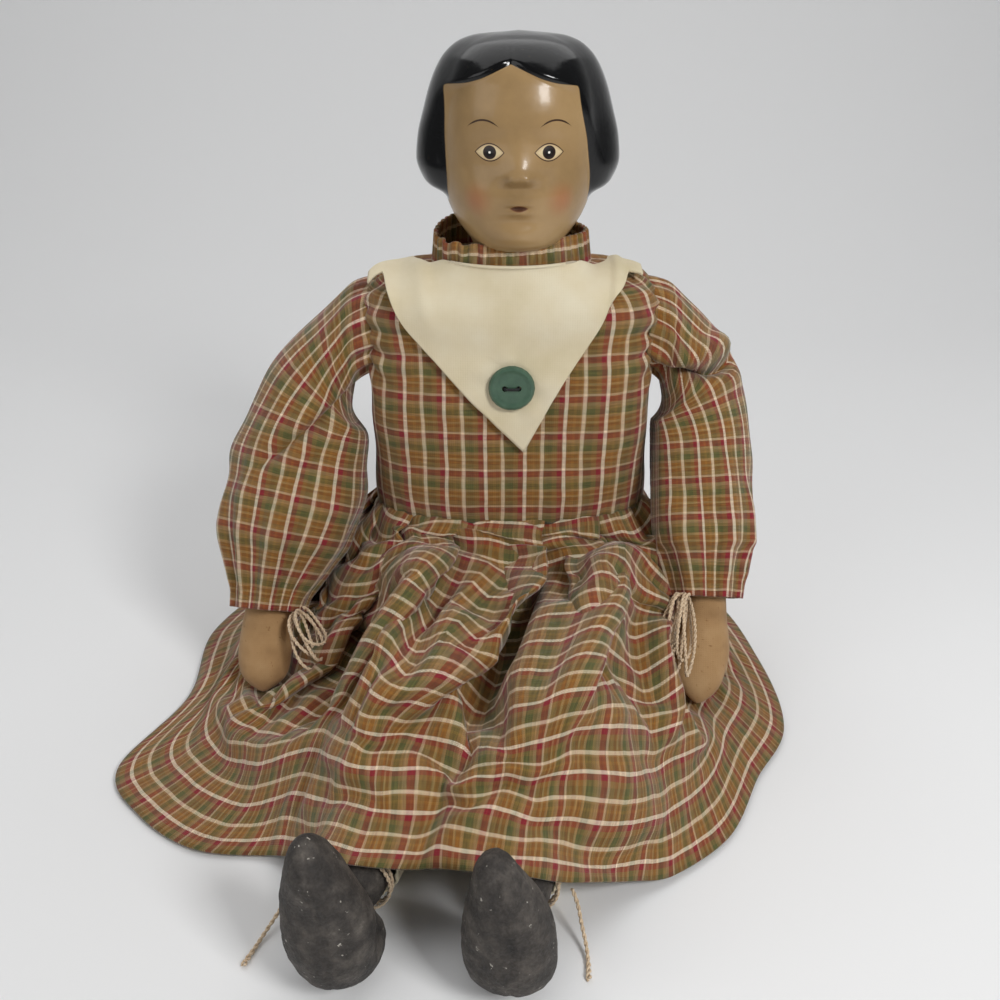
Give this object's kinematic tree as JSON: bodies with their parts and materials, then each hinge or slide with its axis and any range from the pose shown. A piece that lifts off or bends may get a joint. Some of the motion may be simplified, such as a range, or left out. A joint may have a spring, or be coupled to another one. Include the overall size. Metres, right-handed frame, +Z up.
{
  "type": "papier-mache doll",
  "caption": "Seated folk doll with a moulded papier-mache head, a stuffed cloth body with swinging arms and legs, a plaid dress with a buttoned bib, string ties and painted cloth boots.",
  "frame": {"origin": "middle of the flat seat, on the surface that the doll sits on", "axes": "+Z up; the doll faces -Y; +X is the doll's own left"},
  "size_m": [0.2949, 0.301, 0.287],
  "materials": {
    "muslin": "matte",
    "papier_mache": "gloss",
    "plaid": "matte",
    "cream_cotton": "matte",
    "button_plastic": "satin",
    "dark_thread": "matte",
    "cotton_string": "matte",
    "boot_cloth": "matte"
  },
  "bodies": {
    "torso": {"torso": "muslin", "shoulder_head": "papier_mache", "bodice": "plaid", "neck_band": "plaid", "bib": "cream_cotton", "button": "button_plastic", "button_thread": "dark_thread", "skirt_front": "plaid", "skirt_back": "plaid"},
    "right_arm": {"right_arm": "muslin", "right_sleeve": "plaid", "right_wrist_tie": "cotton_string", "right_wrist_bow": "cotton_string"},
    "right_leg": {"right_leg": "muslin", "right_pantaloon_leg": "cream_cotton", "right_ankle_tie": "cotton_string", "right_ankle_tie_end": "cotton_string", "right_boot": "boot_cloth"},
    "left_arm": {"left_arm": "muslin", "left_sleeve": "plaid", "left_wrist_tie": "cotton_string", "left_wrist_bow": "cotton_string"},
    "left_leg": {"left_leg": "muslin", "left_pantaloon_leg": "cream_cotton", "left_ankle_tie": "cotton_string", "left_ankle_tie_end": "cotton_string", "left_boot": "boot_cloth"}
  },
  "joints": [
    {"name": "right_shoulder", "type": "hinge", "parent": "torso", "child": "right_arm", "pos_m": [-0.06081, 0, 0.167], "axis": [-1, 0, 0], "range_deg": [0, 110]},
    {"name": "left_shoulder", "type": "hinge", "parent": "torso", "child": "left_arm", "pos_m": [0.06081, 0, 0.167], "axis": [-1, 0, 0], "range_deg": [0, 110]},
    {"name": "left_hip", "type": "hinge", "parent": "torso", "child": "left_leg", "pos_m": [0.024, -0.04488, 0.0207], "axis": [1, 0, 0], "range_deg": [-25, 85], "deforming": ["skirt_front"]},
    {"name": "right_hip", "type": "hinge", "parent": "torso", "child": "right_leg", "pos_m": [-0.024, -0.04488, 0.0207], "axis": [1, 0, 0], "range_deg": [-25, 85], "deforming": ["skirt_front"]}
  ],
  "couplings": [
    {"joint": "right_hip", "follows": "left_hip", "ratio": 1}
  ]
}
